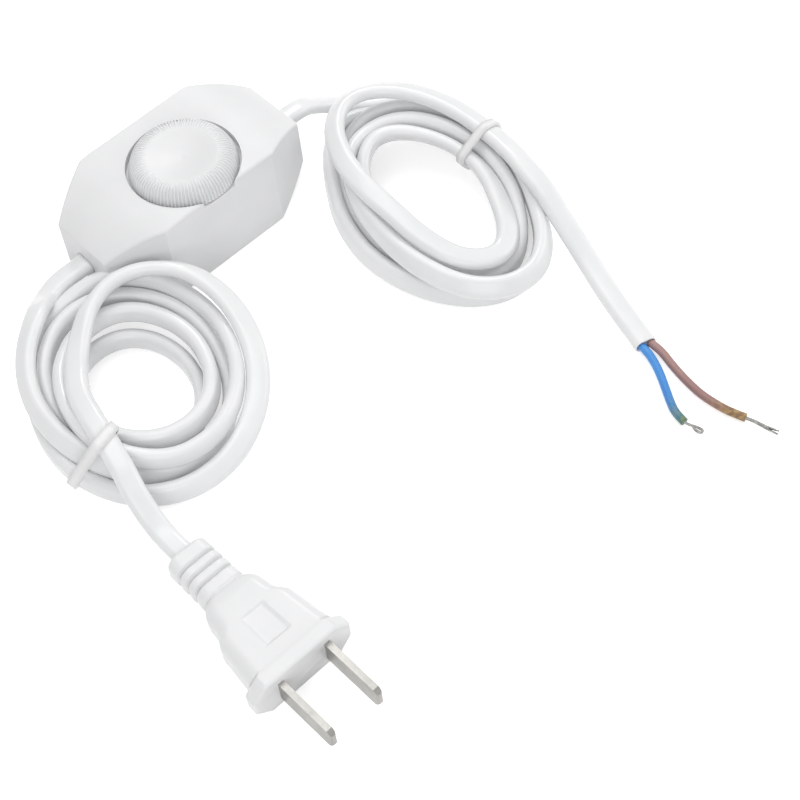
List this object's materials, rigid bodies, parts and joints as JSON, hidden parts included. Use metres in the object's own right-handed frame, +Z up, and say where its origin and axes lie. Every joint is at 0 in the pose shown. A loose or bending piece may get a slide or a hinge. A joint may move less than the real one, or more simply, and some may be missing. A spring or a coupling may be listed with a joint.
{
  "type": "lamp cord with dimmer",
  "caption": "Flat white lamp cord with a rotary dimmer in line: moulded blade plug on one end, bare blue and brown wires on the other, both cord lengths coiled and tied.",
  "frame": {"origin": "middle of the dimmer housing, on the surface that it stands on", "axes": "+X along the housing, towards the end that feeds the lamp; +Z up, through the knob; the coils and the plug lie on the -Y side"},
  "size_m": [0.1433, 0.1595, 0.028],
  "materials": {
    "housing": "smooth white moulded plastic",
    "knob": "smooth white moulded plastic",
    "cord_jacket": "smooth flexible white PVC",
    "plug_plastic": "smooth flexible white PVC",
    "tie_plastic": "plain white",
    "blade_metal": "plated, lightly polished",
    "blue_insulation": "smooth PVC",
    "brown_insulation": "smooth PVC",
    "tinned_copper": "tinned strands",
    "steel_screw": "zinc plated",
    "board_laminate": "phenolic board",
    "component_plastic": "epoxy coated",
    "capacitor_case": "film capacitor case",
    "pot_metal": "plated steel can",
    "pot_plastic": "nylon",
    "aluminium_plate": "plain",
    "ferrite": "ferrite",
    "copper_winding": "enamelled copper"
  },
  "bodies": {
    "body": {"top_cover": "housing", "base_cover": "housing", "housing_screws": "steel_screw", "potentiometer_case": "pot_metal", "potentiometer_wafer": "board_laminate", "circuit_board": "board_laminate", "suppression_capacitor": "capacitor_case", "timing_capacitor": "capacitor_case", "triac": "component_plastic", "heat_sink": "aluminium_plate", "heat_sink_rivet": "aluminium_plate", "choke_core": "ferrite", "choke_winding": "copper_winding", "fuse": "component_plastic", "diac": "component_plastic", "resistors": "component_plastic", "line_cord_grip": "housing", "load_cord_grip": "housing", "grip_screws": "steel_screw", "line_cord_tail": "cord_jacket", "load_cord_tail": "cord_jacket", "line_neutral_wire": "blue_insulation", "line_live_wire": "brown_insulation", "load_neutral_wire": "blue_insulation", "load_live_wire": "brown_insulation", "line_cord": "cord_jacket", "line_cord_coil": "cord_jacket", "line_cord_end": "cord_jacket", "line_cord_tie": "tie_plastic", "load_cord": "cord_jacket", "load_cord_coil": "cord_jacket", "load_cord_end": "cord_jacket", "load_cord_tie": "tie_plastic", "blue_core": "blue_insulation", "brown_core": "brown_insulation", "blue_bare_wires": "tinned_copper", "brown_bare_wires": "tinned_copper", "plug_body": "plug_plastic", "plug_bridge": "component_plastic", "plug_blade_left": "blade_metal", "plug_blade_right": "blade_metal"},
    "knob": {"knob": "knob", "potentiometer_shaft": "pot_plastic", "potentiometer_wiper": "pot_plastic"}
  },
  "joints": [
    {"name": "knob_turn", "type": "hinge", "parent": "body", "child": "knob", "pos_m": [0, -0.003, 0.022], "axis": [0, 0, 1], "range_deg": [-300, 0]}
  ]
}
